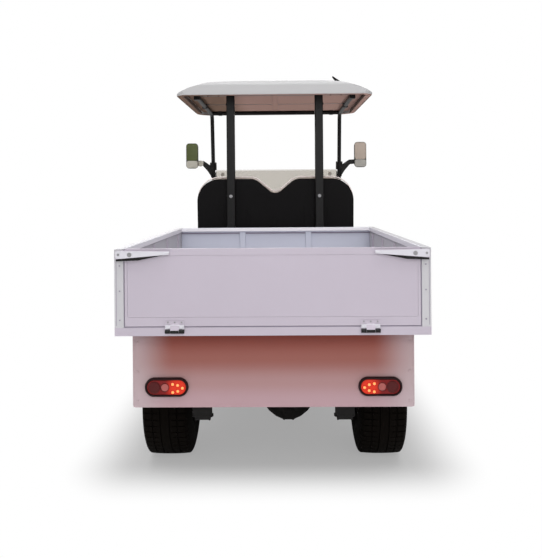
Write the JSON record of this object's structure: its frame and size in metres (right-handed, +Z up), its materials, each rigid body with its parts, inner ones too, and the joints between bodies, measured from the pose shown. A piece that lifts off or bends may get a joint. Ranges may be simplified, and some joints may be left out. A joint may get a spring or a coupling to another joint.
{
  "type": "utility golf cart",
  "caption": "Electric utility golf cart with a bench seat under a roof on posts, a fold-down windshield and a long cargo bed with a drop tailgate.",
  "frame": {"origin": "on the ground under the middle of the cart's overall length and width", "axes": "+Y to the front, +X to the cart's right side, +Z up"},
  "size_m": [1.427, 3.56, 2.0072],
  "materials": {
    "body_paint": "gloss",
    "roof_white": "satin",
    "bed_metal": "satin",
    "frame_black": "satin",
    "axle_iron": "matt",
    "spring_steel": "matt",
    "rim_steel": "satin",
    "tyre": "matt",
    "grip_rubber": "matt",
    "black_plastic": "matt",
    "floor_plate": "matt",
    "seat_vinyl": "satin",
    "tinted_glass": "gloss",
    "lamp_red": "gloss",
    "lamp_clear": "gloss"
  },
  "bodies": {
    "chassis": {"frame_rails": "frame_black", "cross_members": "frame_black", "bed_floor": "bed_metal", "bed_sides": "bed_metal", "bed_headboard": "bed_metal", "rear_panel": "body_paint", "rear_skirts": "body_paint", "tail_lamps": "lamp_red", "leaf_springs": "spring_steel", "rear_axle": "axle_iron", "drive_motor": "axle_iron", "battery_pack": "black_plastic", "seat_base": "body_paint", "seat_cushion": "seat_vinyl", "backrest_cushion": "seat_vinyl", "seat_back_shell": "black_plastic", "armrests": "frame_black", "rear_posts": "frame_black", "roof_frame": "frame_black", "roof_canopy": "roof_white", "windshield_lower": "tinted_glass", "windshield_folded": "tinted_glass", "front_cowl": "body_paint", "dashboard": "black_plastic", "floor_pan": "floor_plate", "rocker_panels": "black_plastic", "front_bumper": "frame_black", "headlamps": "lamp_clear", "mirrors": "black_plastic", "aerial": "black_plastic", "front_axle": "axle_iron", "pedals": "frame_black", "steering_column": "frame_black"},
    "tailgate": {"tailgate": "bed_metal"},
    "steering_wheel": {"steering_wheel": "grip_rubber"},
    "knuckle_left": {"knuckle_left": "axle_iron"},
    "knuckle_right": {"knuckle_right": "axle_iron"},
    "tie_rod": {"tie_rod": "axle_iron"},
    "wheel_front_left": {"front_left_tyre": "tyre", "front_left_rim": "rim_steel"},
    "wheel_front_right": {"front_right_tyre": "tyre", "front_right_rim": "rim_steel"},
    "wheel_rear_left": {"rear_left_tyre": "tyre", "rear_left_rim": "rim_steel"},
    "wheel_rear_right": {"rear_right_tyre": "tyre", "rear_right_rim": "rim_steel"}
  },
  "joints": [
    {"name": "tailgate_hinge", "type": "hinge", "parent": "chassis", "child": "tailgate", "pos_m": [0, -1.766, 0.7], "axis": [1, 0, 0], "range_deg": [0, 180]},
    {"name": "steer_left", "type": "hinge", "parent": "chassis", "child": "knuckle_left", "pos_m": [-0.33, 1.352, 0.2795], "axis": [0, 0, 1], "range_deg": [-28, 28]},
    {"name": "steer_right", "type": "hinge", "parent": "chassis", "child": "knuckle_right", "pos_m": [0.33, 1.352, 0.2795], "axis": [0, 0, 1], "range_deg": [-28, 28]},
    {"name": "tie_rod_pivot", "type": "hinge", "parent": "knuckle_left", "child": "tie_rod", "pos_m": [-0.33, 1.242, 0.2345], "axis": [0, 0, 1], "range_deg": [-30, 30]},
    {"name": "steering_wheel_turn", "type": "hinge", "parent": "chassis", "child": "steering_wheel", "pos_m": [-0.215, 0.742, 1.21], "axis": [0, -0.5, 0.866], "range_deg": [-340, 340]},
    {"name": "front_left_spin", "type": "hinge", "parent": "knuckle_left", "child": "wheel_front_left", "pos_m": [-0.48, 1.352, 0.2795], "axis": [1, 0, 0], "continuous": true},
    {"name": "front_right_spin", "type": "hinge", "parent": "knuckle_right", "child": "wheel_front_right", "pos_m": [0.48, 1.352, 0.2795], "axis": [1, 0, 0], "continuous": true},
    {"name": "rear_left_spin", "type": "hinge", "parent": "chassis", "child": "wheel_rear_left", "pos_m": [-0.491, -1.132, 0.2795], "axis": [1, 0, 0], "continuous": true},
    {"name": "rear_right_spin", "type": "hinge", "parent": "chassis", "child": "wheel_rear_right", "pos_m": [0.491, -1.132, 0.2795], "axis": [1, 0, 0], "continuous": true}
  ],
  "couplings": [
    {"joint": "steer_right", "follows": "steer_left", "ratio": 1},
    {"joint": "tie_rod_pivot", "follows": "steer_left", "ratio": -1},
    {"joint": "steering_wheel_turn", "follows": "steer_left", "ratio": 12}
  ]
}
